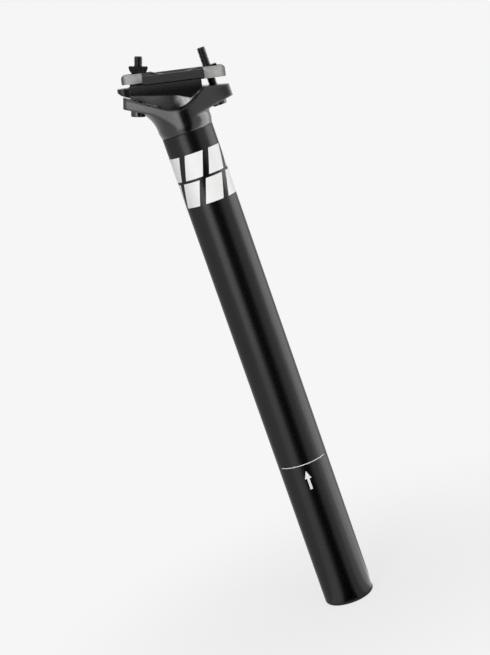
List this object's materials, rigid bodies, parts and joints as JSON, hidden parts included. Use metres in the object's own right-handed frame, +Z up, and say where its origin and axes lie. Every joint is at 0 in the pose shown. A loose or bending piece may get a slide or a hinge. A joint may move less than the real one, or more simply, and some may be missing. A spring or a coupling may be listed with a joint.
{
  "type": "bicycle seatpost",
  "caption": "Straight bicycle seatpost: a round tube with a forged head and a rocking rail clamp that is set for saddle tilt by a bolt at each end.",
  "frame": {"origin": "centre of the tube's lower end", "axes": "+Z up the tube's axis to the clamp, +X to the front of the saddle, +Y to the rider's left"},
  "size_m": [0.0639, 0.0546, 0.355],
  "materials": {
    "tube_black": "satin black anodised",
    "head_black": "satin black anodised forging",
    "clamp_black": "satin black anodised",
    "clamp_grey": "bead-blasted dark grey anodised",
    "bolt_steel": "black oxide",
    "washer_steel": "black oxide",
    "nut_steel": "black oxide"
  },
  "bodies": {
    "post": {"tube": "tube_black", "head": "head_black"},
    "clamp": {"lower_cradle": "clamp_black", "upper_clamp": "clamp_grey"},
    "rear_swivel": {"rear_washer": "washer_steel"},
    "rear_screw": {"rear_bolt": "bolt_steel"},
    "rear_half_moon": {"rear_nut": "nut_steel"},
    "front_swivel": {"front_washer": "washer_steel"},
    "front_screw": {"front_bolt": "bolt_steel"},
    "front_half_moon": {"front_nut": "nut_steel"}
  },
  "joints": [
    {"name": "tilt", "type": "hinge", "parent": "post", "child": "clamp", "pos_m": [0.0006, 0, 0.3352], "axis": [0, 1, 0], "range_deg": [-1.5, 8]},
    {"name": "rear_lean", "type": "hinge", "parent": "post", "child": "rear_swivel", "pos_m": [-0.02467, 0, 0.32029], "axis": [0, 1, 0], "range_deg": [-0.45, 2.3]},
    {"name": "rear_turn", "type": "hinge", "parent": "rear_swivel", "child": "rear_screw", "pos_m": [-0.02467, 0, 0.32029], "axis": [0.3355, 0, 0.9421], "continuous": true},
    {"name": "rear_travel", "type": "slide", "parent": "rear_swivel", "child": "rear_half_moon", "axis": [0.3355, 0, 0.9421], "range_m": [-0.0005, 0.0027]},
    {"name": "front_lean", "type": "hinge", "parent": "post", "child": "front_swivel", "pos_m": [0.0233, 0, 0.31121], "axis": [0, 1, 0], "range_deg": [-0.15, 0.05]},
    {"name": "front_turn", "type": "hinge", "parent": "front_swivel", "child": "front_screw", "pos_m": [0.0233, 0, 0.31121], "axis": [0, 0, 1], "continuous": true},
    {"name": "front_travel", "type": "slide", "parent": "front_swivel", "child": "front_half_moon", "axis": [0, 0, 1], "range_m": [-0.0033, 0.00065]}
  ],
  "couplings": [
    {"joint": "rear_lean", "follows": "tilt", "ratio": 0.2749},
    {"joint": "rear_turn", "follows": "tilt", "ratio": -144.98},
    {"joint": "rear_travel", "follows": "tilt", "m_per_rad": 0.01846},
    {"joint": "front_lean", "follows": "tilt", "ratio": -0.0128},
    {"joint": "front_turn", "follows": "tilt", "ratio": 178.27},
    {"joint": "front_travel", "follows": "tilt", "m_per_rad": -0.022698}
  ]
}
